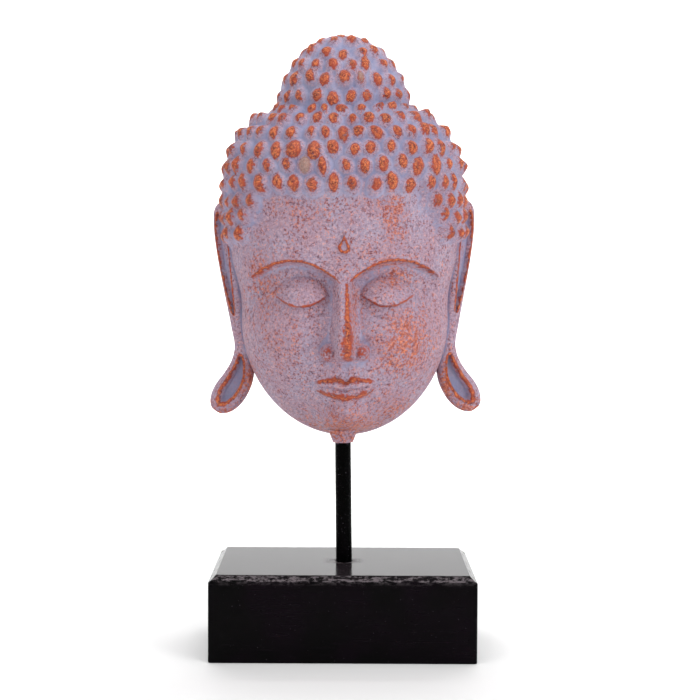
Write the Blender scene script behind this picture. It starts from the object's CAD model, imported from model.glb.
# A carved and painted wooden head with rows of pointed curls, on a black dowel and a black block.
# Metres, +Z up, the face looks along -Y. The head is laid out in fingers: x to the side, f forwards, z up.
import math
from types import SimpleNamespace as Sizes

import bmesh
import bpy
import numpy as np
from mathutils import Matrix, Vector, kdtree, noise


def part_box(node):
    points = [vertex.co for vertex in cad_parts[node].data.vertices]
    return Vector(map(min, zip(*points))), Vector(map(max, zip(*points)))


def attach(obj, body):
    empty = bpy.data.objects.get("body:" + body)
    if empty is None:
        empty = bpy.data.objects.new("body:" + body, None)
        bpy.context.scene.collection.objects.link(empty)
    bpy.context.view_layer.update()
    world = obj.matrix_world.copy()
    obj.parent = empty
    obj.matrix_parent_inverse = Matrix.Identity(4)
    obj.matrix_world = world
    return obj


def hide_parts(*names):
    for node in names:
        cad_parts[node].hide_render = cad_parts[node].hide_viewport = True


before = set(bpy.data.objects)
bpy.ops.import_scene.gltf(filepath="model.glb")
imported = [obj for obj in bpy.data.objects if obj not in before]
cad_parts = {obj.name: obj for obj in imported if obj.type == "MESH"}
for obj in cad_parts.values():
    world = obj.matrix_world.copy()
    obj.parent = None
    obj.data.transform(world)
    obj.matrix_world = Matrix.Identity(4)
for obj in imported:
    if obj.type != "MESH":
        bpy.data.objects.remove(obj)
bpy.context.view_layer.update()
_, block_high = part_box("block")
_, head_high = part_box("head")

# The dowel, the gap round it and the stretch of it that shows; it and the head lean, from the block's top up
ROD_RADIUS = 0.004
ROD_X = 0.0005
GLUE_GAP = 0.0003
ROD_SHOWING = 0.0605
CHIN_HEIGHT = block_high.z + ROD_SHOWING
ROD_FOOT = block_high.z - 0.02
ROD_TOP = CHIN_HEIGHT + 0.024
HEAD_TO_SIDE = 0.0019
LEAN = math.radians(0.75)

# The flat back lies behind the head's axis and the dowel in front of it, which gives the finger its size
BACK_AT = -0.7
ROD_AT = 1.8
FINGER = head_high.y / (ROD_AT - BACK_AT)

# Masses that are blended into the smooth head: rx, rf, up and down are radii, side and rise the bluntness
FACE_EGG = Sizes(f=0, z=5.8, rx=5.15, rf=4.55, up=8, down=5.8, side=2.3, rise=1.95)
SKULL = Sizes(f=0, z=11.4, rx=5.74, rf=4.85, up=4.8, down=6, side=2.3, rise=3.05)
CROWN = Sizes(f=0.2, z=15.4, rx=3.22, rf=2.9, up=4.2, down=4, side=2.1, rise=2)
MASS_BLEND = 0.5
COLLAR = Sizes(radius=0.75, foot=0.5, reach=0.14, root=0.5, sides=48)

# The face is a third each for brow, nose and chin, and an eye is a fifth of its width
THIRD = 4
EYE_WIDTH = 2 * FACE_EGG.rx / 5

# Hair: a thin cap above the hairline with rows of knob-like curls, and a plain rim along the flat back
HAIRLINE = Sizes(height=3 * THIRD + 0.15, edge=0.3, cap=0.14)
TEMPLE = Sizes(drop=2.5, bend=1.4, low=3.3, high=5.1)
CURL = Sizes(across=0.9, rows=0.78, wide=0.6, tall=0.68, height=0.46, tip=0.22, hollow=1.1, margin=0.2)
CROWN_CURL = Sizes(across=0.8, size=0.88, start=14.6)
CURL_FADE = Sizes(reach=2.1, least=0.2, crown=0.1)
CURL_UNEVEN = Sizes(place=0.07, size=0.1, height=0.14, lean=0.12)
CURL_SQUARENESS = 1.8
CURL_NEAR = 1.0
RUBBED_TIP = Sizes(across=1.35, along=0.95, least=0.4, most=0.62, fade=0.3, halo=0.7, flank=1.1)
PLAIN_RIM = Sizes(side=0.5, crown=0.9, top=0.8)
RIM_WIDENS = (13.8, 16.6)
RIM_NARROWS = (18.8, 19.6)

BROW = Sizes(root=7.55, peak=2 * THIRD + 0.78, tail=7.95, peak_at=2.5, tail_at=4.55)
BROW_LINE = Sizes(half=0.15, raised=0.12, start=0.15, fade=0.5)
SOCKET = Sizes(deep=0.5, edge=0.32, down=2.9, inner=0.8, outer=4.9)
EYE = Sizes(x=EYE_WIDTH, z=6.98, wide=1.32, tall=1.02, full=0.5)
LID = Sizes(edge=6.55, sag=0.36, step=0.15, fade=0.75, rim=0.06, line=0.08)
LID_FOLD = Sizes(deep=0.05, above=1.02)
NOSE = Sizes(top=2 * THIRD + 0.4, tip=THIRD + 0.66, base=THIRD - 0.1, low=0.3, high=1.28)
RIDGE = Sizes(half_top=0.33, half_tip=0.46, flat=0.45, foot=1.75, under=0.45, fade=1.2)
NOSE_BALL = Sizes(radius=0.6, full=0.16)
WING = Sizes(x=0.76, z=THIRD + 0.42, rx=0.43, rz=0.44, full=0.74, under=0.2)
MOUTH = Sizes(z=2.66, half=1.52, rise=0.2, upper=0.56, lower=0.62, full=0.34, pout=0.43)
PARTING = Sizes(deep=0.16, line=0.1, dip=0.07, dip_half=0.28)
BOW = Sizes(at=0.4, half=0.28, raised=0.09, notch=0.056, notch_half=0.2)
MOUTH_CORNER = Sizes(deep=0.13, beyond=0.12, radius=0.2)
PHILTRUM = Sizes(deep=0.09, half=0.16, low=3.15, high=3.95, fade=0.2)
CHIN = Sizes(z=1.1, rx=1.6, rz=1.25, full=1.05)
CHIN_CREASE = Sizes(z=1.86, deep=0.12, line=0.22, half=1.4)
CHEEK = Sizes(x=2.7, z=4.7, rx=2.1, rz=2.2, full=0.36)
MUZZLE = Sizes(z=2.6, rx=2.5, rz=2.3, full=0.6)
MARK = Sizes(z=9.35, radius=0.27, point=0.36, raised=0.14, ring=0.22, ring_line=0.09, bead=0.12)

# One ear, on the +x side: its middle line from the rim's top to the lobe's tip, and its half-widths
EAR_LINE = (
    (5.92, 0.8, 11.68),
    (5.85, 0.65, 10.28),
    (5.7, 0.5, 8.88),
    (5.46, 0.35, 7.28),
    (5.22, 0.2, 5.68),
    (5.07, 0.15, 4.28),
    (5.4, 0.1, 2.83),
    (6.54, 0, 1.23),
)
EAR_HALF_WIDTHS = (0.5, 0.62, 0.6, 0.54, 0.46, 0.46, 0.76, 0.9)
EAR = Sizes(thick=0.5, turn_top=38, turn_lobe=14, top_cap=0.07, tip_cap=0.1)
EAR_HOLLOWS = (
    Sizes(start=0.06, end=0.53, deep=0.62, half_start=0.74, half_end=0.34),
    Sizes(start=0.74, end=0.955, deep=0.85, half_start=0.3, half_end=0.6),
)
EAR_MESH = Sizes(rings=150, around=72)

# How finely the head is sampled, and the upright line inside it from which the sampling rays start
SAMPLES = Sizes(x=190, f=50, z=244)
SAMPLES_BACK = -0.6
AXIS = Sizes(middle=9.2, half=7.4, forward=0.6)
FAR_OUT = 9
HALVINGS = 18

# How finely the rows of curls are looked for up the front, and each row walked round, in radians
ROWS_LOOKED_FOR = 1600
ROW_WALK = Sizes(turn=2, steps=700)

chance = np.random.default_rng(7)


def smooth(low, high, v):
    t = np.clip((v - low) / (high - low), 0, 1)
    return t * t * (3 - 2 * t)


def between(a, b, t):
    return a + (b - a) * t


def bell(v, width):
    return np.exp(-((v / width) ** 2))


def domed(u, v, power):
    return np.maximum(0, 1 - u * u - v * v) ** power


def blended_least(a, b, width):
    near = np.maximum(width - np.abs(a - b), 0) / width
    return np.minimum(a, b) - near * near * width / 4


def outside_mass(mass, x, f, z):
    """How far points are outside a blunt ellipsoid, roughly"""
    flat = (np.abs(x) / mass.rx) ** mass.side + (np.abs(f - mass.f) / mass.rf) ** mass.side
    rise = np.abs(z - mass.z) / np.where(z > mass.z, mass.up, mass.down)
    gauge = (flat ** (mass.rise / mass.side) + rise**mass.rise) ** (1 / mass.rise)
    return (gauge - 1) * mass.rf


def hairline_height(x):
    return HAIRLINE.height - TEMPLE.drop * smooth(TEMPLE.low, TEMPLE.high, np.abs(x)) ** TEMPLE.bend


def above_hairline(x, z):
    """How far points are above the hairline, measured square to it"""
    step = 0.02
    slope = (hairline_height(x + step) - hairline_height(x - step)) / (2 * step)
    return (z - hairline_height(x)) / np.hypot(1, slope)


def brow_height(x):
    u = np.abs(x)
    inner = BROW.peak - (BROW.peak - BROW.root) * (1 - u / BROW.peak_at) ** 2
    outer = BROW.peak - (BROW.peak - BROW.tail) * ((u - BROW.peak_at) / (BROW.tail_at - BROW.peak_at)) ** 2
    return np.where(u < BROW.peak_at, inner, outer)


def brow_line(x, z):
    u = np.abs(x)
    fades_in = smooth(BROW_LINE.start, BROW_LINE.start + BROW_LINE.fade, u)
    fades_out = 1 - smooth(BROW.tail_at - BROW_LINE.fade, BROW.tail_at, u)
    return bell(brow_height(x) - z, BROW_LINE.half) * fades_in * fades_out


def brow_and_socket(x, z):
    u = np.abs(x)
    under = brow_height(x) - z
    outwards = 1 - smooth(BROW.tail_at - BROW_LINE.fade, SOCKET.outer, u)
    across = smooth(BROW_LINE.start, SOCKET.inner, u) * outwards
    hollow = smooth(0, SOCKET.edge, under) * (1 - smooth(2 * SOCKET.edge, SOCKET.down, under))
    return BROW_LINE.raised * brow_line(x, z) - SOCKET.deep * hollow * across


def above_lid_edge(x, z):
    return z - LID.edge - LID.sag * ((np.abs(x) - EYE.x) / (EYE_WIDTH / 2)) ** 2


def lowered_lid(x, z):
    from_middle = np.abs(x) - EYE.x
    ball = EYE.full * domed(from_middle / EYE.wide, (z - EYE.z) / EYE.tall, 0.8)
    over = above_lid_edge(x, z)
    in_eye = 1 - smooth(EYE_WIDTH / 2, EYE.wide, np.abs(from_middle))
    below_edge = 1 - smooth(-LID.line / 2, LID.line / 2, over)
    step = -LID.step * below_edge * (1 - smooth(LID.line, LID.fade, -over))
    rim = LID.rim * bell(over - LID.line, LID.line)
    fold = -LID_FOLD.deep * bell(over - LID_FOLD.above + LID.sag * (from_middle / EYE.wide) ** 2, LID.line)
    return ball + (step + rim + fold) * in_eye


def nose_relief(x, z):
    u = np.abs(x)
    along = 1 - smooth(NOSE.tip, NOSE.top, z)
    half = between(RIDGE.half_top, RIDGE.half_tip, along**1.6)
    stands = between(NOSE.low, NOSE.high, along**0.85)
    fades_out = 1 - smooth(NOSE.top - RIDGE.fade, NOSE.top + RIDGE.fade / 3, z)
    ends = smooth(NOSE.base, NOSE.base + RIDGE.under, z) * fades_out
    side = 1 - smooth(half * RIDGE.flat, half * RIDGE.foot, u)
    ball = NOSE_BALL.full * domed(u / NOSE_BALL.radius, (z - NOSE.tip) / NOSE_BALL.radius, 1.2)
    wings = WING.full * domed((u - WING.x) / WING.rx, (z - WING.z) / WING.rz, 0.6)
    wings = wings * smooth(NOSE.base, NOSE.base + WING.under, z)
    return np.maximum((stands * side + ball) * ends, wings)


def lip_shares(x, z):
    """The mouth's line, and how far points are from it as shares of the lips' heights"""
    u = np.abs(x) / MOUTH.half
    across = np.maximum(0, 1 - u * u)
    line = MOUTH.z + MOUTH.rise * u * u - PARTING.dip * bell(x, PARTING.dip_half)
    upper = MOUTH.upper * 0.9 * np.sqrt(across) + BOW.raised * bell(np.abs(x) - BOW.at, BOW.half)
    upper_lip = np.maximum(upper - BOW.notch * bell(x, BOW.notch_half), 0.05)
    lower_lip = np.maximum(MOUTH.lower * np.sqrt(across), 0.05)
    share = np.where(z > line, (z - line) / upper_lip, (line - z) / lower_lip)
    return u, across, line, share


def lips(x, z):
    u, across, line, share = lip_shares(x, z)
    full = np.where(z > line, MOUTH.full, MOUTH.pout)
    swell = full * np.maximum(0, 1 - share * share) ** 0.8 * across**0.4
    groove = PARTING.deep * bell(z - line, PARTING.line) * (1 - smooth(0.95, 1.12, u))
    beyond = np.abs(x) - MOUTH.half - MOUTH_CORNER.beyond
    corner = MOUTH_CORNER.deep * bell(np.hypot(beyond, z - MOUTH.z - MOUTH.rise), MOUTH_CORNER.radius)
    above = smooth(PHILTRUM.low, PHILTRUM.low + PHILTRUM.fade, z)
    below = 1 - smooth(PHILTRUM.high - PHILTRUM.fade, PHILTRUM.high, z)
    return swell - groove - corner - PHILTRUM.deep * bell(x, PHILTRUM.half) * above * below


def mark_reach(x, z):
    above = np.maximum(z - MARK.z, 0)
    below = np.maximum(MARK.z - z, 0)
    point = MARK.radius + MARK.point
    narrowing = np.maximum(1 - above / point, 0.12)
    return np.hypot(x / narrowing, below + above * MARK.radius / point)


def drop_mark(x, z):
    reach = mark_reach(x, z)
    return MARK.raised * (bell(reach - MARK.ring, MARK.ring_line) + 0.5 * bell(reach, MARK.bead))


def carving(x, z):
    """How far the face's carving stands forward of the smooth head"""
    u = np.abs(x)
    cheeks = CHEEK.full * domed((u - CHEEK.x) / CHEEK.rx, (z - CHEEK.z) / CHEEK.rz, 1.5)
    muzzles = MUZZLE.full * domed(u / MUZZLE.rx, (z - MUZZLE.z) / MUZZLE.rz, 1.5)
    chins = CHIN.full * domed(u / CHIN.rx, (z - CHIN.z) / CHIN.rz, 1.4)
    in_crease = 1 - smooth(0, CHIN_CREASE.half, u)
    crease = CHIN_CREASE.deep * bell(z - CHIN_CREASE.z, CHIN_CREASE.line) * in_crease
    relief = brow_and_socket(x, z) + lowered_lid(x, z) + nose_relief(x, z) + lips(x, z) + drop_mark(x, z)
    on_face = (z <= HAIRLINE.height) & (u <= FACE_EGG.rx)
    return np.where(on_face, cheeks + muzzles + chins - crease + relief, 0)


def outside_masses(x, f, z):
    hair = blended_least(outside_mass(SKULL, x, f, z), outside_mass(CROWN, x, f, z), MASS_BLEND)
    return blended_least(outside_mass(FACE_EGG, x, f, z), hair, MASS_BLEND)


def outside_head(x, f, z):
    """Negative inside the head, positive outside, in fingers"""
    forward = f - carving(x, z) * smooth(0.4, 2.6, f)
    in_hair = smooth(-HAIRLINE.edge / 2, HAIRLINE.edge / 2, above_hairline(x, z))
    return outside_masses(x, forward, z) - HAIRLINE.cap * in_hair


def on_head(directions):
    """Where the rays for directions leave the head: they start along the axis and fan out at its ends"""
    rise = directions[:, 2] ** 3
    level = np.sqrt(np.maximum(1 - rise**2, 0) / np.maximum(1 - directions[:, 2] ** 2, 1e-9))
    rays = np.stack([directions[:, 0] * level, directions[:, 1] * level, rise], 1)
    starts = np.zeros_like(rays)
    starts[:, 1] = AXIS.forward
    starts[:, 2] = AXIS.middle + AXIS.half * directions[:, 2]
    inner = np.zeros(len(rays))
    outer = np.full(len(rays), float(FAR_OUT))
    for _ in range(HALVINGS):
        middle = (inner + outer) / 2
        inside = outside_head(*(starts + rays * middle[:, None]).T) < 0
        inner = np.where(inside, middle, inner)
        outer = np.where(inside, outer, middle)
    return starts + rays * ((inner + outer) / 2)[:, None]


def normals_on_head(points):
    step = 0.03
    slopes = []
    for shift in np.eye(3) * step:
        slopes.append(outside_masses(*(points + shift).T) - outside_masses(*(points - shift).T))
    normals = np.stack(slopes, 1)
    return normals / np.linalg.norm(normals, axis=1)[:, None]


def directions_at(turns, level):
    flat = math.sqrt(max(0, 1 - level * level))
    return np.stack([np.sin(turns) * flat, np.cos(turns) * flat, np.full(len(turns), level)], 1)


def spaced(points, first, spacing):
    """The indices of the points where a walk along them has come first, first + spacing and so on"""
    walked = np.concatenate([[0], np.cumsum(np.linalg.norm(np.diff(points, axis=0), axis=1))])
    return np.searchsorted(walked, np.arange(first, walked[-1], spacing))


def row_levels():
    """The levels of the rows of curls, evenly spaced up and down the front from the first row"""
    levels = np.linspace(-0.999, 0.9999, ROWS_LOOKED_FOR)
    flat = np.sqrt(1 - levels**2)
    front = on_head(np.stack([np.zeros(len(levels)), flat, levels], 1))
    first = int(np.searchsorted(front[:, 2], HAIRLINE.height + CURL.margin))
    down = levels[: first + 1][::-1][spaced(front[: first + 1][::-1], CURL.rows, CURL.rows)]
    up = levels[first:][spaced(front[first:], CURL.rows, CURL.rows)]
    return [*down[::-1], levels[first], *up]


def plain_rim_at(z):
    wide = between(PLAIN_RIM.side, PLAIN_RIM.crown, smooth(*RIM_WIDENS, z))
    return between(wide, PLAIN_RIM.top, smooth(*RIM_NARROWS, z))


def from_rim(points):
    """How far points are in front of the plain rim"""
    return points[:, 1] - BACK_AT - plain_rim_at(points[:, 2])


def curl_middles():
    """Middles of the curls: each row is stepped round to both sides, brick fashion"""
    found = []
    turns = np.linspace(0, ROW_WALK.turn, ROW_WALK.steps)
    for row, level in enumerate(row_levels()):
        for side in (-1, 1):
            walk = on_head(directions_at(side * turns, level))
            spacing = CROWN_CURL.across if walk[0, 2] > CROWN_CURL.start else CURL.across
            on_middle = 0 if side > 0 else spacing
            first = spacing / 2 if row % 2 else on_middle
            here = walk[spaced(walk, first, spacing)]
            in_hair = above_hairline(here[:, 0], here[:, 2]) > 0.75 * CURL.margin
            found.append(here[in_hair & (from_rim(here) > 0)])
    return np.concatenate(found)


def curl_shapes(points, normals):
    """How far the curls lift each point, how near it is to its curl's ridge, and that curl's number"""
    middles = curl_middles()
    across = np.stack([normals[:, 1], -normals[:, 0], np.zeros(len(normals))], 1)
    across /= np.maximum(np.linalg.norm(across, axis=1), 1e-9)[:, None]
    upward = np.cross(across, normals)
    lift = np.zeros(len(points))
    reach = np.full(len(points), 9.0)
    owner = np.full(len(points), -1)
    sizes = np.where(middles[:, 2] > CROWN_CURL.start, CROWN_CURL.size, 1)
    least = between(CURL_FADE.least, CURL_FADE.crown, smooth(*RIM_WIDENS, middles[:, 2]))
    heights = CURL.height * between(least, 1, smooth(0, CURL_FADE.reach, from_rim(middles)))
    for number, middle in enumerate(middles):
        shift_u, shift_v = chance.normal(0, CURL_UNEVEN.place, 2)
        wide = CURL.wide * sizes[number] * (1 + chance.normal(0, CURL_UNEVEN.size))
        tall = CURL.tall * sizes[number] * (1 + chance.normal(0, CURL_UNEVEN.size))
        height = heights[number] * (1 + chance.normal(0, CURL_UNEVEN.height))
        lean = chance.normal(0, CURL_UNEVEN.lean)
        away = points - middle
        near = np.flatnonzero((away**2).sum(1) < CURL_NEAR**2)
        u = ((away[near] * across[near]).sum(1) - shift_u) / wide
        v = ((away[near] * upward[near]).sum(1) - shift_v) / tall
        u = u + lean * v
        gauge = (np.abs(u) ** CURL_SQUARENESS + np.abs(v) ** CURL_SQUARENESS) ** (1 / CURL_SQUARENESS)
        from_tip = (np.hypot(gauge, CURL.tip) - CURL.tip) / (math.hypot(1, CURL.tip) - CURL.tip)
        shape = height * np.maximum(0, 1 - from_tip) ** CURL.hollow
        higher = shape > lift[near]
        lift[near[higher]] = shape[higher]
        reach[near[higher]] = np.hypot(u * RUBBED_TIP.across, v * RUBBED_TIP.along)[higher]
        owner[near[higher]] = number
    return lift, reach, owner, middles


def to_stand(points):
    """From fingers on the head's axis to metres on the stand"""
    x, f, z = np.asarray(points).T
    return np.stack([HEAD_TO_SIDE + x * FINGER, (ROD_AT - f) * FINGER, CHIN_HEIGHT + z * FINGER], 1)


def from_stand(places):
    x, y, z = np.asarray(places).T
    return np.stack([(x - HEAD_TO_SIDE) / FINGER, ROD_AT - y / FINGER, (z - CHIN_HEIGHT) / FINGER], 1)


def shell_grid(nx, nf, nz):
    """Directions over a box's front, sides, top and bottom, and the quads between them; the back is open"""
    shell = np.zeros((nx + 1, nf + 1, nz + 1), bool)
    shell[[0, -1]] = True
    shell[:, -1] = True
    shell[:, :, [0, -1]] = True
    number = np.full(shell.shape, -1)
    number[shell] = np.arange(shell.sum())
    i, j, k = np.nonzero(shell)
    x = np.tan((2 * i / nx - 1) * math.pi / 4)
    f = np.tan(between(SAMPLES_BACK, 1, j / nf) * math.pi / 4)
    z = np.tan((2 * k / nz - 1) * math.pi / 4)
    directions = np.stack([x, f, z], 1)
    directions /= np.linalg.norm(directions, axis=1)[:, None]
    quads = []
    for sheet, turned in (
        (number[0], False),
        (number[-1], True),
        (number[:, -1], False),
        (number[:, :, 0], False),
        (number[:, :, -1], True),
    ):
        corners = [sheet[:-1, :-1], sheet[1:, :-1], sheet[1:, 1:], sheet[:-1, 1:]]
        quads.append(np.stack(corners[::-1] if turned else corners, -1).reshape(-1, 4))
    return directions, np.concatenate(quads)


def mesh_object(name, places, faces):
    mesh = bpy.data.meshes.new(name)
    mesh.from_pydata([tuple(p) for p in places], [], [tuple(face) for face in faces])
    mesh.validate()
    made = bpy.data.objects.new(name, mesh)
    bpy.context.scene.collection.objects.link(made)
    return made


def ring_faces(rings, around):
    """Quads between rings with that many corners each, and the caps over the first and the last"""
    faces = []
    for row in range(rings - 1):
        for j in range(around):
            a, b = row * around + j, row * around + (j + 1) % around
            faces.append((a, b, b + around, a + around))
    last = (rings - 1) * around
    faces.append(tuple(range(around))[::-1])
    faces.append(tuple(range(last, last + around)))
    return faces


def shaded(piece, sharp_degrees):
    """Smooth shading, with edges sharper than the angle kept sharp"""
    piece.data.polygons.foreach_set("use_smooth", [True] * len(piece.data.polygons))
    piece.data.set_sharp_from_angle(angle=math.radians(sharp_degrees))


def joined(piece, other, operation):
    """Adds another closed object to a closed piece or takes it away, and applies the result"""
    step = piece.modifiers.new("join", "BOOLEAN")
    step.operation = operation
    step.solver = "MANIFOLD"
    step.object = other
    evaluated = piece.evaluated_get(bpy.context.evaluated_depsgraph_get())
    mesh = bpy.data.meshes.new_from_object(evaluated)
    piece.modifiers.clear()
    piece.data = mesh
    bpy.data.objects.remove(other)


def cut_flat(piece, height):
    """Cuts off what lies behind the flat back, and closes the cut"""
    work = bmesh.new()
    work.from_mesh(piece.data)
    everything = [*work.verts, *work.edges, *work.faces]
    bmesh.ops.bisect_plane(
        work, geom=everything, plane_co=(0, height, 0), plane_no=(0, 1, 0), clear_outer=True
    )
    rim = [edge for edge in work.edges if edge.is_boundary]
    bmesh.ops.holes_fill(work, edges=rim)
    bmesh.ops.triangulate(work, faces=[face for face in work.faces if len(face.verts) > 4])
    work.to_mesh(piece.data)
    work.free()


def smooth_curve(knots, shares):
    """A curve through knots, at shares of its length along its own run: centripetal Catmull-Rom pieces"""
    knots = np.asarray(knots, float)
    ends = np.concatenate([[2 * knots[0] - knots[1]], knots, [2 * knots[-1] - knots[-2]]])
    span = np.minimum((shares * (len(knots) - 1)).astype(int), len(knots) - 2)
    t = (shares * (len(knots) - 1) - span)[:, None]
    p0, p1, p2, p3 = (ends[span + k] for k in range(4))
    tangent_1 = (p2 - p0) / 2
    tangent_2 = (p3 - p1) / 2
    t2, t3 = t * t, t * t * t
    from_first = (2 * t3 - 3 * t2 + 1) * p1 + (t3 - 2 * t2 + t) * tangent_1
    return from_first + (3 * t2 - 2 * t3) * p2 + (t3 - t2) * tangent_2


def ear(side):
    """A flattened tube along the ear's line, closed at both ends, with hollows sunk in its front"""
    s = np.linspace(0, 1, EAR_MESH.rings + 1)
    middle = smooth_curve(EAR_LINE, s)
    along = np.gradient(middle, axis=0)
    along /= np.linalg.norm(along, axis=1)[:, None]
    half_width = smooth_curve([[w] for w in EAR_HALF_WIDTHS], s)[:, 0]
    turn = np.radians(between(EAR.turn_top, EAR.turn_lobe, smooth(0.4, 0.8, s)))
    facing = np.stack([np.sin(turn), np.cos(turn), np.zeros(len(s))], 1)
    outward = np.cross(facing, along)
    outward /= np.linalg.norm(outward, axis=1)[:, None]
    outward *= np.sign(outward[:, :1])
    capped = 1 - np.minimum(s / EAR.top_cap, 1)
    ended = 1 - np.minimum((1 - s) / EAR.tip_cap, 1)
    close = np.sqrt(np.maximum(0, 1 - np.maximum(capped, ended) ** 2))
    angle = 2 * math.pi * np.arange(EAR_MESH.around) / EAR_MESH.around
    u, v = np.cos(angle), np.sin(angle)
    dip = np.zeros((len(s), len(angle)))
    for hollow in EAR_HOLLOWS:
        run = np.clip((s - hollow.start) / (hollow.end - hollow.start), 0, 1)
        rounded = np.sqrt(np.maximum(0, 1 - (2 * run - 1) ** 2))
        half = np.maximum(between(hollow.half_start, hollow.half_end, run) * rounded, 1e-3)[:, None]
        within = np.where(v > 0, 1 - smooth(0.6 * half, half, np.abs(u)), 0)
        dip = np.maximum(dip, hollow.deep * within * smooth(0, 0.35, rounded)[:, None])
    thick = EAR.thick * np.sqrt(close)[:, None] * (np.sign(v) * np.abs(v) ** 0.7 - dip)
    wide = (half_width * close)[:, None] * u
    points = middle[:, None] + outward[:, None] * wide[..., None] + facing[:, None] * thick[..., None]
    points = points[1:-1]
    points[..., 0] *= side
    faces = ring_faces(len(points), EAR_MESH.around)
    made = mesh_object("ear", to_stand(points.reshape(-1, 3)), faces)
    work = bmesh.new()
    work.from_mesh(made.data)
    bmesh.ops.recalc_face_normals(work, faces=work.faces)
    work.to_mesh(made.data)
    work.free()
    return made


def upright(radius_low, radius_high, low, high, sides):
    """An upright cylinder, or a cone frustum, on the dowel's axis"""
    made = mesh_object("upright", [], [])
    work = bmesh.new()
    bmesh.ops.create_cone(
        work, cap_ends=True, segments=sides, radius1=radius_low, radius2=radius_high, depth=high - low
    )
    bmesh.ops.translate(work, verts=work.verts, vec=(ROD_X, 0, (low + high) / 2))
    work.to_mesh(made.data)
    work.free()
    return made


def leaned(piece):
    """Tips a piece about the dowel's foot, to the viewer's left"""
    foot = Matrix.Translation((ROD_X, 0, block_high.z))
    piece.data.transform(foot @ Matrix.Rotation(-LEAN, 4, "Y") @ foot.inverted())


def corners_and_edges(mesh):
    places = np.zeros(len(mesh.vertices) * 3)
    mesh.vertices.foreach_get("co", places)
    edges = np.zeros(len(mesh.edges) * 2, int)
    mesh.edges.foreach_get("vertices", edges)
    normals = np.zeros(len(mesh.vertices) * 3)
    mesh.vertices.foreach_get("normal", normals)
    return places.reshape(-1, 3), edges.reshape(-1, 2), normals.reshape(-1, 3)


def raisedness(mesh, rounds):
    """How far each corner stands out from the form that many rounds of averaging leave, in metres"""
    places, edges, normals = corners_and_edges(mesh)
    count = np.bincount(edges.ravel(), minlength=len(places))[:, None]
    averaged = places.copy()
    for _ in range(rounds):
        total = np.zeros_like(averaged)
        for axis in range(3):
            total[:, axis] += np.bincount(edges[:, 0], averaged[edges[:, 1], axis], len(places))
            total[:, axis] += np.bincount(edges[:, 1], averaged[edges[:, 0], axis], len(places))
        averaged = total / np.maximum(count, 1)
    return ((places - averaged) * normals).sum(1)


def add_attribute(mesh, name, values):
    layer = mesh.attributes.new(name, "FLOAT", "POINT")
    layer.data.foreach_set("value", np.asarray(values, np.float32))


# Where the rust colour was rubbed over broad patches: middle, radius and strength, in fingers on the head
RUBBED_PATCHES = (
    Sizes(x=2.9, z=4.9, rx=1.4, rz=1.7, full=0.6),
    Sizes(x=2.3, z=8.2, rx=1.1, rz=0.8, full=0.4),
    Sizes(x=-3.9, z=7.6, rx=0.8, rz=1.9, full=0.4),
    Sizes(x=-2.9, z=5.1, rx=1.3, rz=1.3, full=0.2),
    Sizes(x=0.1, z=0.75, rx=1.9, rz=0.9, full=0.6),
    Sizes(x=2.4, z=1.6, rx=2.0, rz=1.0, full=0.35),
    Sizes(x=2.3, z=10.9, rx=0.6, rz=1.5, full=0.5),
    Sizes(x=-1.4, z=11.1, rx=1.5, rz=0.7, full=0.25),
    Sizes(x=0.45, z=6.2, rx=0.5, rz=2.0, full=0.4),
    Sizes(x=-4.7, z=2.7, rx=0.45, rz=0.9, full=0.8),
    Sizes(x=5.1, z=2.8, rx=0.45, rz=0.9, full=0.9),
    Sizes(x=-5.8, z=1.1, rx=1.1, rz=0.5, full=0.7),
    Sizes(x=5.9, z=1.2, rx=1.1, rz=0.5, full=0.7),
)

# How far corners stand out or lie back, in metres, from the form that rounds of averaging leave: where
# the ears' rims are rubbed, where hollows stay smooth, and where the paint is deepest between curls
EAR_RUBBING = Sizes(least=0.00016, most=0.0004, full=0.8, rounds=8)
HOLLOW = Sizes(least=0.0002, most=0.0012, rounds=60)
VALLEY = Sizes(least=0.0001, most=0.0008, rounds=25)

# Corners this near a sampled place belong to the head itself, and the others this far out to the ears
ON_SKIN = 0.0003
EARS_FROM = 3.5
FLAT_BACK = BACK_AT + 0.02

# Curls that have lost their paint: the places of their middles in fingers, and how much of the tip is bare
BARE_CURLS = (Sizes(x=-1.4, z=13.1, reach=0.46), Sizes(x=0.8, z=17.7, reach=0.24))


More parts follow.
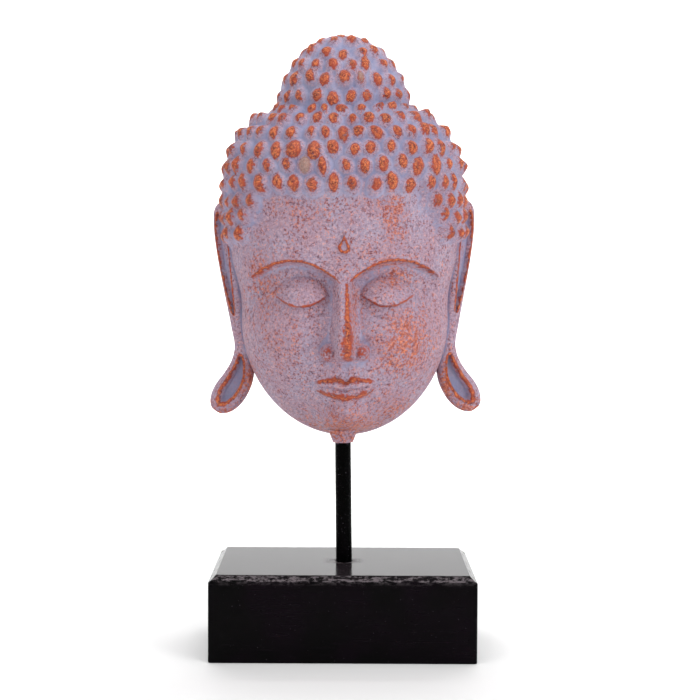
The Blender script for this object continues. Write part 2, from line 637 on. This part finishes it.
def face_rubbing(x, f, z):
    """How strongly the carving's ridges were rubbed with rust: brows, nose, lips, mark and patches"""
    u = np.abs(x)
    front = smooth(0.6, 1.6, f)
    below_hair = smooth(0, 0.25, -above_hairline(x, z))
    brows = bell(brow_height(x) - z - 0.03, 0.075) * brow_line(x, z) ** 0.3
    across, _, line, share = lip_shares(x, z)
    upper = bell(share - 0.85, 0.28) * (z > line)
    lower = bell(share - 0.55, 0.3) * (z < line)
    mouth = 0.85 * np.maximum(upper, lower) * (1 - smooth(0.75, 1.05, across))
    in_nose = smooth(NOSE.base, NOSE.base + 0.3, z) * (1 - smooth(NOSE.top - 1.2, NOSE.top, z))
    ridge = in_nose * 0.8 * bell(x - 0.12, between(0.26, 0.1, smooth(NOSE.tip, NOSE.top - 1, z)))
    wings = 0.5 * domed((u - WING.x - 0.1) / WING.rx, (z - WING.z) / WING.rz, 0.7)
    in_eye = 1 - smooth(EYE_WIDTH / 2, EYE.wide, np.abs(u - EYE.x))
    lid = 0.75 * bell(above_lid_edge(x, z) - LID.line / 2, 0.06) * in_eye
    drop = 0.9 * bell(mark_reach(x, z) - MARK.ring, 0.09)
    ridges = np.maximum.reduce([brows, mouth, ridge, wings, lid, drop])
    patches = np.zeros(len(x))
    for patch in RUBBED_PATCHES:
        away = np.hypot((x - patch.x) / patch.rx, (z - patch.z) / patch.rz)
        patches = np.maximum(patches, patch.full * bell(away, 1))
    on_lobe = smooth(4.4, 4.7, u) * (f > BACK_AT + 0.1)
    return ridges * front * below_hair, patches * np.maximum(front, on_lobe) * below_hair


def head():
    directions, quads = shell_grid(SAMPLES.x, SAMPLES.f, SAMPLES.z)
    points = on_head(directions)
    high_enough = above_hairline(points[:, 0], points[:, 2]) > -CURL.tall
    hairy = np.flatnonzero((points[:, 1] > BACK_AT - 1) & high_enough)
    normals = normals_on_head(points[hairy])
    lift, reach, owner, middles = curl_shapes(points[hairy], normals)
    points[hairy] += normals * lift[:, None]
    places = to_stand(points)
    piece = mesh_object("carved_head", places, quads)
    cut_flat(piece, head_high.y)
    for side in (-1, 1):
        joined(piece, ear(side), "UNION")
    low = CHIN_HEIGHT - COLLAR.reach * FINGER
    high = CHIN_HEIGHT + COLLAR.root * FINGER
    collar = upright(COLLAR.foot * FINGER, COLLAR.radius * FINGER, low, high, COLLAR.sides)
    joined(piece, collar, "UNION")
    hole = ROD_RADIUS + GLUE_GAP
    drilled = upright(hole, hole, low - 0.001, ROD_TOP + GLUE_GAP, COLLAR.sides)
    joined(piece, drilled, "DIFFERENCE")
    tip_reach = np.full(len(points), 9.0)
    tip_reach[hairy] = reach
    curl_number = np.full(len(points), -1)
    curl_number[hairy] = owner
    mark_paint(piece.data, places, tip_reach, curl_number, middles)
    leaned(piece)
    shaded(piece, 58)
    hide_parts("head")
    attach(piece, "root")
    return piece


def mark_paint(mesh, sampled, reach, owner, middles):
    """Stores on each corner whether it is rubbed, patchy, in the hair, hollow, bare or on the back"""
    places, _, _ = corners_and_edges(mesh)
    x, f, z = from_stand(places).T
    tree = kdtree.KDTree(len(sampled))
    for number, place in enumerate(sampled):
        tree.insert(place, number)
    tree.balance()
    nearest = np.array([tree.find(place)[1:] for place in places])
    found = nearest[:, 0].astype(int)
    on_skin = nearest[:, 1] < ON_SKIN
    on_ear = ~on_skin & (np.abs(x) > EARS_FROM) & (f > FLAT_BACK)
    tip_reach = np.where(on_skin, reach[found], 9)
    number = np.where(on_skin, owner[found], -1)
    strength = np.append(chance.uniform(0.7, 1.0, len(middles)), 0)
    tip_size = chance.uniform(RUBBED_TIP.least, RUBBED_TIP.most, len(middles))
    tip_size = np.append(tip_size * between(0.6, 1, smooth(0, 2.2, from_rim(middles))), 0)
    wanted = tip_size[number]
    half_fade = RUBBED_TIP.fade / 2
    tips = strength[number] * (1 - smooth(wanted - half_fade, wanted + half_fade, tip_reach))
    halo = 1 - smooth(wanted, wanted + RUBBED_TIP.halo, tip_reach)
    ridges, patches = face_rubbing(x, f, z)
    raised = raisedness(mesh, EAR_RUBBING.rounds)
    broad = raisedness(mesh, HOLLOW.rounds)
    rims = EAR_RUBBING.full * smooth(EAR_RUBBING.least, EAR_RUBBING.most, raised) * on_ear
    on_curl = 1 - smooth(RUBBED_TIP.flank - 0.12, RUBBED_TIP.flank + 0.12, tip_reach)
    in_hair = np.maximum(smooth(0.1, 0.5, above_hairline(x, z)), on_curl) * on_skin
    valleys = smooth(VALLEY.least, VALLEY.most, -raisedness(mesh, VALLEY.rounds))
    bare = np.zeros(len(places))
    for spot in BARE_CURLS:
        chosen = int(np.argmin(np.hypot(middles[:, 0] - spot.x, middles[:, 2] - spot.z)))
        bare = np.maximum(bare, (number == chosen) * (1 - smooth(spot.reach, spot.reach + 0.2, tip_reach)))
    add_attribute(mesh, "rubbed", np.clip(np.maximum.reduce([tips, ridges, rims]), 0, 1))
    add_attribute(mesh, "halo", halo * in_hair)
    add_attribute(mesh, "patch", patches)
    add_attribute(mesh, "hair", in_hair)
    add_attribute(mesh, "hollow", smooth(HOLLOW.least, HOLLOW.most, -broad) * (1 - in_hair))
    add_attribute(mesh, "valley", valleys * np.maximum(in_hair, on_ear))
    add_attribute(mesh, "bare", bare)
    add_attribute(mesh, "back", f < FLAT_BACK)


class Nodes:
    """Short ways to add and join shader nodes"""

    def __init__(self, name):
        self.material = bpy.data.materials.new(name)
        self.material.use_nodes = True
        self.tree = self.material.node_tree
        self.shader = self.tree.nodes["Principled BSDF"]
        self.place = self.tree.nodes.new("ShaderNodeTexCoord").outputs["Object"]

    def put(self, socket, value):
        if isinstance(value, bpy.types.NodeSocket):
            self.tree.links.new(value, socket)
        else:
            socket.default_value = value

    def attribute(self, name):
        node = self.tree.nodes.new("ShaderNodeAttribute")
        node.attribute_name = name
        return node.outputs["Fac"]

    def math(self, operation, *values, clamp=False):
        node = self.tree.nodes.new("ShaderNodeMath")
        node.operation = operation
        node.use_clamp = clamp
        for socket, value in zip(node.inputs, values):
            self.put(socket, value)
        return node.outputs[0]

    def mapped(self, value, low, high, to_low=0.0, to_high=1.0):
        node = self.tree.nodes.new("ShaderNodeMapRange")
        node.interpolation_type = "SMOOTHSTEP"
        for socket, given in zip(node.inputs, (value, low, high, to_low, to_high)):
            self.put(socket, given)
        return node.outputs[0]

    def noise(self, size, detail=2.0, rough=0.5, stretch=(1, 1, 1), offset=0.0):
        """Noise with features of about that size, in metres"""
        mapping = self.tree.nodes.new("ShaderNodeMapping")
        self.put(mapping.inputs["Vector"], self.place)
        mapping.inputs["Scale"].default_value = stretch
        mapping.inputs["Location"].default_value = (offset, offset, offset)
        node = self.tree.nodes.new("ShaderNodeTexNoise")
        self.put(node.inputs["Vector"], mapping.outputs[0])
        node.inputs["Scale"].default_value = 1 / size
        node.inputs["Detail"].default_value = detail
        node.inputs["Roughness"].default_value = rough
        return node.outputs["Fac"]

    def mixed(self, share, first, second):
        node = self.tree.nodes.new("ShaderNodeMix")
        node.data_type = "RGBA"
        socket = {each.identifier: each for each in node.inputs}
        self.put(socket["Factor_Float"], share)
        self.put(socket["A_Color"], first)
        self.put(socket["B_Color"], second)
        return next(each for each in node.outputs if each.identifier == "Result_Color")

    def bumped(self, height, depth, strength=1.0, below=None):
        node = self.tree.nodes.new("ShaderNodeBump")
        node.inputs["Strength"].default_value = strength
        node.inputs["Distance"].default_value = depth
        self.put(node.inputs["Height"], height)
        if below is not None:
            self.put(node.inputs["Normal"], below)
        return node.outputs[0]


def rgb(red, green, blue):
    """A colour as it looks on a screen, 0 to 255, as the linear values that shaders take"""
    shares = np.array([red, green, blue]) / 255
    linear = np.where(shares <= 0.04045, shares / 12.92, ((shares + 0.055) / 1.055) ** 2.4)
    return (*map(float, linear), 1.0)


LAVENDER = rgb(160, 162, 196)
LAVENDER_LIGHT = rgb(184, 184, 212)
LAVENDER_DEEP = rgb(122, 128, 164)
PINK = rgb(184, 150, 166)
PINK_LIGHT = rgb(230, 200, 212)
PLUM = rgb(100, 56, 72)
MAROON = rgb(138, 56, 42)
RUST = rgb(176, 66, 32)
RUST_LIGHT = rgb(244, 140, 78)
RUST_DARK = rgb(112, 30, 16)
GRAIN_RUST = rgb(178, 84, 58)
BARE_WOOD = rgb(178, 158, 150)
BARE_SHADE = rgb(158, 130, 124)
BACK_PAINT = rgb(120, 124, 152)
BACK_SHADE = rgb(92, 84, 96)
LACQUER = rgb(1, 0, 1)
LACQUER_WARM = rgb(7, 1, 7)
LACQUER_GRAIN = rgb(28, 20, 28)
LACQUER_DUST = rgb(36, 31, 34)
SCRAPED = rgb(112, 104, 108)
BLACK_PAINT = rgb(1, 1, 1)
BLACK_WARM = rgb(4, 2, 4)
DUST_SPECK = rgb(110, 102, 110)
DOWEL_SPECK = rgb(110, 104, 112)
SMEAR_GREY = rgb(104, 96, 112)
SMEAR_RED = rgb(94, 30, 40)


def painted_wood():
    """Lavender paint, stippled with plum and pink, with rust rubbed over its ridges, over a sandy ground"""
    n = Nodes("painted_wood")
    rubbed = n.attribute("rubbed")
    halo = n.attribute("halo")
    patch = n.attribute("patch")
    hair = n.attribute("hair")
    hollow = n.attribute("hollow")
    valley = n.attribute("valley")
    bare = n.attribute("bare")
    back = n.attribute("back")

    cloudy = n.noise(0.014, 3, 0.55)
    streaky = n.noise(0.005, 3, 0.6, (1, 1, 0.45), 0.13)
    clumped = n.noise(0.0022, 3, 0.7, offset=0.53)
    speck = n.noise(0.0014, 4, 0.95)
    second = n.noise(0.0013, 4, 0.95, offset=0.71)

    # Smooth paint: lavender in the hair and the hollows, pinker where the stipple lies on it
    smooth_paint = n.mixed(n.mapped(cloudy, 0.35, 0.68), LAVENDER, LAVENDER_LIGHT)
    smooth_paint = n.mixed(n.mapped(streaky, 0.62, 0.4, 0.0, 0.3), smooth_paint, LAVENDER_DEEP)
    smooth_paint = n.mixed(n.math("MULTIPLY", valley, 0.35), smooth_paint, LAVENDER_DEEP)
    calm = n.math("MULTIPLY", hollow, n.mapped(streaky, 0.35, 0.6, 0.9, 0.35))
    skin = n.math("MULTIPLY", n.math("SUBTRACT", 1.0, hair), n.math("SUBTRACT", 1.0, calm))
    stippled = n.math("ADD", skin, n.math("MULTIPLY", halo, 0.9), clamp=True)
    stippled = n.math("MULTIPLY", stippled, n.math("SUBTRACT", 1.0, n.math("MULTIPLY", valley, 0.7)))
    pinkness = n.math("MULTIPLY", stippled, n.mapped(cloudy, 0.3, 0.7, 0.9, 0.45))
    coat = n.mixed(pinkness, smooth_paint, PINK)

    # Stipple: light, plum and rust grains, with more rust in the patches and streaks
    light = n.mapped(second, 0.515, 0.57)
    coat = n.mixed(n.math("MULTIPLY", light, n.mapped(stippled, 0, 1, 0.12, 0.8)), coat, PINK_LIGHT)
    clumping = n.mapped(streaky, 0.35, 0.65, 0.55, 1.0)
    dark = n.math("MULTIPLY", n.mapped(speck, 0.485, 0.43), clumping)
    dark_colour = n.mixed(n.mapped(clumped, 0.42, 0.6), PLUM, MAROON)
    coat = n.mixed(n.math("MULTIPLY", dark, n.mapped(stippled, 0, 1, 0.12, 0.95)), coat, dark_colour)
    wanted = n.math("MULTIPLY", patch, n.mapped(clumped, 0.3, 0.6, 0.5, 1.6))
    wanted = n.math("ADD", wanted, n.mapped(streaky, 0.45, 0.7, 0.15, 0.45))
    threshold = n.math("SUBTRACT", 0.6, n.math("MULTIPLY", wanted, 0.16))
    grains = n.mapped(second, threshold, n.math("ADD", threshold, 0.05))
    grain_colour = n.mixed(n.mapped(speck, 0.5, 0.56), GRAIN_RUST, RUST_LIGHT)
    coat = n.mixed(n.math("MULTIPLY", grains, n.math("MULTIPLY", stippled, 0.85)), coat, grain_colour)

    # Rust rubbed over what stands proud, broken up along its edge
    ragged = n.math("ADD", n.math("SUBTRACT", speck, 0.5), n.math("SUBTRACT", clumped, 0.5))
    broken = n.math("ADD", rubbed, n.math("MULTIPLY", ragged, 1.8))
    covered = n.math("MULTIPLY", n.mapped(broken, 0.3, 0.55), n.mapped(rubbed, 0.02, 0.25))
    rust = n.mixed(n.mapped(clumped, 0.4, 0.56), RUST_DARK, RUST)
    bright = n.math("MULTIPLY", n.mapped(second, 0.49, 0.55), n.mapped(rubbed, 0.45, 0.9))
    rust = n.mixed(n.math("MULTIPLY", bright, 0.9), rust, RUST_LIGHT)
    coat = n.mixed(n.math("MULTIPLY", covered, 0.94), coat, rust)

    wood = n.mixed(n.mapped(speck, 0.45, 0.55), BARE_SHADE, BARE_WOOD)
    coat = n.mixed(n.math("MULTIPLY", bare, 0.8), coat, wood)
    plain_back = n.mixed(n.noise(0.006, 4, 0.6, (1, 1, 0.12)), BACK_PAINT, BACK_SHADE)
    coat = n.mixed(back, coat, plain_back)
    n.put(n.shader.inputs["Base Color"], coat)
    n.put(n.shader.inputs["Roughness"], n.mapped(covered, 0, 1, 0.75, 0.4))
    n.shader.inputs["Specular IOR Level"].default_value = 0.35

    tool_marks = n.bumped(n.noise(0.004, 2, 0.5, (1, 1, 0.5)), 0.0005, 0.3)
    sandy = n.math("MULTIPLY", n.math("ADD", speck, second), n.mapped(stippled, 0, 1, 0.25, 1))
    n.put(n.shader.inputs["Normal"], n.bumped(sandy, 0.0004, 0.6, tool_marks))
    return n.material


def wall_noise(place, size):
    return noise.noise(Vector(place) / size)


# The block's bevels, the fine arris along its foot, its corners, and how finely its walls are divided
BEVEL = Sizes(front=0.0024, side=0.0036, rough=0.0002, steps=7)
ARRIS = 0.0005
CORNER = 0.0012
WALL_STEPS = 16
JUST_UNDER_BEVEL = 0.985
ALONG = Sizes(width=150, depth=80)
UNDERSIDE_INSETS = (0.02, 0.003, ARRIS)
TOP_SHARES = (0.05, 0.15, 0.3, 0.45, 0.6, 0.75, 0.88, 1)
WALL_ROUGH = 0.00004
TOP_ROUGH = 0.00008


def block_outline(inset, share):
    """Points round the block, and how far each belongs to a side wall; bevels pull them in by a share"""
    corners = ((1, -1), (1, 1), (-1, 1), (-1, -1))
    half_x = block_high.x - inset - share * BEVEL.side - CORNER
    half_y = block_high.y - inset - share * BEVEL.front - CORNER
    points = []
    for number, (sx, sy) in enumerate(corners):
        centre = Vector((sx * half_x, sy * half_y))
        for step in range(5):
            angle = math.radians(-90 + 90 * number + 22.5 * step)
            outward = Vector((math.cos(angle), math.sin(angle)))
            points.append((centre + CORNER * outward, outward.x**2))
        following = corners[(number + 1) % 4]
        target = Vector((following[0] * half_x, following[1] * half_y))
        angle = math.radians(90 * number)
        outward = Vector((math.cos(angle), math.sin(angle)))
        steps = ALONG.depth if sx == following[0] else ALONG.width
        for step in range(1, steps):
            points.append((centre.lerp(target, step / steps) + CORNER * outward, outward.x**2))
    return points


def block_ring(inset, share, rise, roughness):
    """One ring of the block: rise is the share of the wall's height, or None on the bevel and the top"""
    ring = []
    for p, sideness in block_outline(inset, share):
        bevel = between(BEVEL.front, BEVEL.side, sideness)
        level = block_high.z - bevel * (1 - share)
        if rise is not None:
            level = min(between(ARRIS, level, rise), level) if rise > 0 else -rise * ARRIS
        rough = roughness * wall_noise((p.x, p.y, level + 0.3), 0.0025)
        fine = 0.4 * roughness * wall_noise((p.x, p.y, level + 0.7), 0.0009)
        inwards = 1 - (abs(rough) + abs(fine)) / max(abs(p.x), abs(p.y))
        ring.append((p.x * inwards, p.y * inwards, level - 0.6 * abs(rough)))
    return ring


def block():
    """The block as rings: underside, walls, worn bevel, top and the hole for the dowel"""
    height = block_high.z
    rings = [block_ring(inset, 0, 0, 0) for inset in UNDERSIDE_INSETS]
    rings.append(block_ring(ARRIS * 0.3, 0, -0.3, 0))
    rings.append(block_ring(0, 0, -1, 0))
    rings += [block_ring(0, 0, step / WALL_STEPS, WALL_ROUGH) for step in range(1, WALL_STEPS)]
    rings.append(block_ring(0, 0, JUST_UNDER_BEVEL, WALL_ROUGH))
    for share in np.linspace(0, 1, BEVEL.steps):
        rings.append(block_ring(0, share, None, BEVEL.rough if 0 < share < 1 else TOP_ROUGH))
    rings.append(block_ring(0.0006, 1, None, 0))
    hole = ROD_RADIUS + GLUE_GAP
    outline = [Vector(p[:2]) for p in rings[-1]]
    axis = Vector((ROD_X, 0))
    for share in TOP_SHARES:
        ring = []
        for p in outline:
            rim = axis + hole * (p - axis).normalized()
            ring.append((*p.lerp(rim, share), height))
        rings.append(ring)
    rim = rings[-1]
    for depth in (0.0002, 0.001, height - ROD_FOOT + GLUE_GAP):
        rings.append([(p[0] + depth * math.tan(LEAN), p[1], height - depth) for p in rim])
    places = [place for ring in rings for place in ring]
    piece = mesh_object("lacquered_block", places, ring_faces(len(rings), len(rings[0])))
    shaded(piece, 32)
    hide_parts("block")
    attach(piece, "root")
    return piece


def black_lacquer():
    """Black lacquer over straight grain, dusty on top, worn at the edges and at the dowel's foot"""
    n = Nodes("black_lacquer")
    grain = n.noise(0.0016, 4, 0.6, (0.07, 1, 1))
    cloudy = n.noise(0.02, 3, 0.5)
    speck = n.noise(0.0007, 1, 0.5, offset=0.2)
    black = n.mixed(n.mapped(cloudy, 0.35, 0.7), LACQUER, LACQUER_WARM)
    black = n.mixed(n.math("MULTIPLY", n.mapped(grain, 0.55, 0.75), 0.2), black, LACQUER_GRAIN)
    black = n.mixed(n.math("MULTIPLY", n.mapped(speck, 0.76, 0.8), 0.5), black, DUST_SPECK)
    dusty = n.math("MULTIPLY", n.attribute("top"), n.mapped(cloudy, 0.3, 0.7, 0.8, 1.0))
    black = n.mixed(dusty, black, LACQUER_DUST)
    worn = n.attribute("worn")
    scratches = n.noise(0.0016, 4, 0.8, (0.4, 1, 1))
    black = n.mixed(n.math("MULTIPLY", worn, n.mapped(scratches, 0.45, 0.6)), black, SCRAPED)
    n.put(n.shader.inputs["Base Color"], black)
    n.put(n.shader.inputs["Roughness"], n.math("ADD", 0.16, n.math("MULTIPLY", worn, 0.25)))
    n.shader.inputs["Specular IOR Level"].default_value = 0.06
    lines = n.bumped(grain, 0.0001, 0.12)
    n.put(n.shader.inputs["Normal"], n.bumped(n.noise(0.006, 2, 0.5), 0.0002, 0.08, lines))
    return n.material


def mark_wear(mesh):
    """Stores on the block's corners how worn the lacquer is: along the bevel and round the dowel's foot"""
    places, _, _ = corners_and_edges(mesh)
    x, y, z = places.T
    from_top = block_high.z - z
    from_face = block_high.y - np.abs(y)
    bevel = bell(from_face + from_top - BEVEL.front, 0.0005) * smooth(0.0001, 0.0006, from_top)
    foot = bell(np.hypot(x - ROD_X, y) - ROD_RADIUS, 0.0012) * (from_top < 0.0005)
    add_attribute(mesh, "worn", np.clip(np.maximum(bevel, foot), 0, 1))
    add_attribute(mesh, "top", from_top < 0.0001)


ROD_MESH = Sizes(sides=64, levels=120, uneven=0.00009)


def rod():
    """The dowel as a turned form with a little unevenness in its paint"""
    places = []
    for level in np.linspace(ROD_FOOT, ROD_TOP, ROD_MESH.levels):
        for j in range(ROD_MESH.sides):
            angle = 2 * math.pi * j / ROD_MESH.sides
            outward = Vector((math.cos(angle), math.sin(angle), 0))
            uneven = wall_noise((outward.x * 0.6, outward.y * 0.6, level * 60), 1)
            radius = ROD_RADIUS - ROD_MESH.uneven + ROD_MESH.uneven * uneven
            places.append((ROD_X + radius * outward.x, radius * outward.y, level))
    piece = mesh_object("black_rod", places, ring_faces(ROD_MESH.levels, ROD_MESH.sides))
    leaned(piece)
    shaded(piece, 40)
    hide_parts("rod")
    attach(piece, "root")
    return piece


def black_dowel():
    """Thick glossy black paint, with a smear of the head's paint below the chin"""
    n = Nodes("black_dowel")
    split = n.tree.nodes.new("ShaderNodeSeparateXYZ")
    n.put(split.inputs[0], n.place)
    under_chin = n.math("SUBTRACT", CHIN_HEIGHT, split.outputs["Z"])
    ragged = n.math("MULTIPLY", n.noise(0.003, 3, 0.6), 0.006)
    smeared = n.mapped(n.math("ADD", under_chin, ragged), 0.0042, 0.0052, 1.0, 0.0)
    speck = n.noise(0.0009, 1, 0.5)
    black = n.mixed(n.mapped(n.noise(0.01, 2, 0.5), 0.4, 0.7), BLACK_PAINT, BLACK_WARM)
    black = n.mixed(n.math("MULTIPLY", n.mapped(speck, 0.72, 0.77), 0.5), black, DOWEL_SPECK)
    redder = n.mapped(n.noise(0.004, 2, 0.5, offset=0.5), 0.45, 0.6)
    smear = n.mixed(redder, SMEAR_GREY, SMEAR_RED)
    n.put(n.shader.inputs["Base Color"], n.mixed(n.math("MULTIPLY", smeared, 0.5), black, smear))
    n.put(n.shader.inputs["Roughness"], n.mapped(n.noise(0.003, 3, 0.6), 0.3, 0.7, 0.2, 0.34))
    n.shader.inputs["Specular IOR Level"].default_value = 0.03
    n.put(n.shader.inputs["Normal"], n.bumped(n.noise(0.0025, 3, 0.6, (1, 1, 0.3)), 0.0003, 0.3))
    return n.material


def plain(name, colour, roughness):
    n = Nodes(name)
    n.shader.inputs["Base Color"].default_value = colour
    n.shader.inputs["Roughness"].default_value = roughness
    n.shader.inputs["Specular IOR Level"].default_value = 0.1
    return n.material


def cover(piece, material):
    piece.data.materials.clear()
    piece.data.materials.append(material)


FLOOR = Sizes(front=-1.6, bend_from=1.0, bend=0.6, top=3.0, half=2.5)


def studio():
    """A pale floor that curves up into a backdrop"""
    profile = [(FLOOR.front, 0.0), (FLOOR.bend_from, 0.0)]
    for degrees in range(10, 91, 10):
        angle = math.radians(degrees)
        rise = FLOOR.bend - FLOOR.bend * math.cos(angle)
        profile.append((FLOOR.bend_from + FLOOR.bend * math.sin(angle), rise))
    profile.append((FLOOR.bend_from + FLOOR.bend, FLOOR.top))
    places = [(x, y, z) for y, z in profile for x in (-FLOOR.half, FLOOR.half)]
    faces = [(2 * i, 2 * i + 1, 2 * i + 3, 2 * i + 2) for i in range(len(profile) - 1)]
    floor = mesh_object("floor", places, faces)
    floor.data.polygons.foreach_set("use_smooth", [True] * len(floor.data.polygons))
    cover(floor, plain("pale_floor", (0.94, 0.94, 0.94, 1), 0.7))


def area_light(name, place, target, size, power):
    lamp = bpy.data.lights.new(name, "AREA")
    lamp.shape = "RECTANGLE"
    lamp.size, lamp.size_y = size
    lamp.energy = power
    holder = bpy.data.objects.new(name, lamp)
    holder.location = place
    holder.rotation_euler = (Vector(target) - Vector(place)).to_track_quat("-Z", "Y").to_euler()
    bpy.context.scene.collection.objects.link(holder)


def lights():
    middle = (0, 0, 0.18)
    area_light("overhead", (0.1, -0.35, 1.3), middle, (1.4, 1.2), 9.2)
    area_light("left", (-1.1, -0.9, 0.6), middle, (0.7, 0.9), 2.4)
    area_light("right", (1.1, -0.9, 0.6), middle, (0.7, 0.9), 6.4)
    area_light("behind", (0, 0.8, 1.2), (0, 1.6, 0.4), (2.5, 0.8), 34)
    world = bpy.data.worlds.new("studio")
    world.use_nodes = True
    world.node_tree.nodes["Background"].inputs["Color"].default_value = (1, 1, 1, 1)
    world.node_tree.nodes["Background"].inputs["Strength"].default_value = 0.36
    bpy.context.scene.world = world


# The camera's place, how far it is tipped down and rolled, and its focal length and shifts in picture widths
CAMERA = Sizes(back=0.67, up=0.19, tip=2.6, roll=0.27, sensor=36)
PICTURE = 700
FOCAL = 1368 / PICTURE
SHIFT = Sizes(x=5.9 / PICTURE, y=-28 / PICTURE)


def camera():
    """The photograph's viewpoint, a little above the eyes and tipped down a little"""
    lens = bpy.data.cameras.new("camera")
    lens.sensor_width = CAMERA.sensor
    lens.lens = CAMERA.sensor * FOCAL
    lens.shift_x = SHIFT.x
    lens.shift_y = SHIFT.y
    holder = bpy.data.objects.new("camera", lens)
    holder.location = (0, -CAMERA.back, CAMERA.up)
    holder.rotation_euler = (math.pi / 2 - math.radians(CAMERA.tip), 0, 0)
    holder.rotation_euler.rotate_axis("Z", math.radians(CAMERA.roll))
    bpy.context.scene.collection.objects.link(holder)
    bpy.context.scene.camera = holder


carved_head = head()
cover(carved_head, painted_wood())
lacquered_block = block()
mark_wear(lacquered_block.data)
cover(lacquered_block, black_lacquer())
black_rod = rod()
cover(black_rod, black_dowel())
studio()
lights()
camera()
bpy.context.scene.view_settings.view_transform = "Standard"
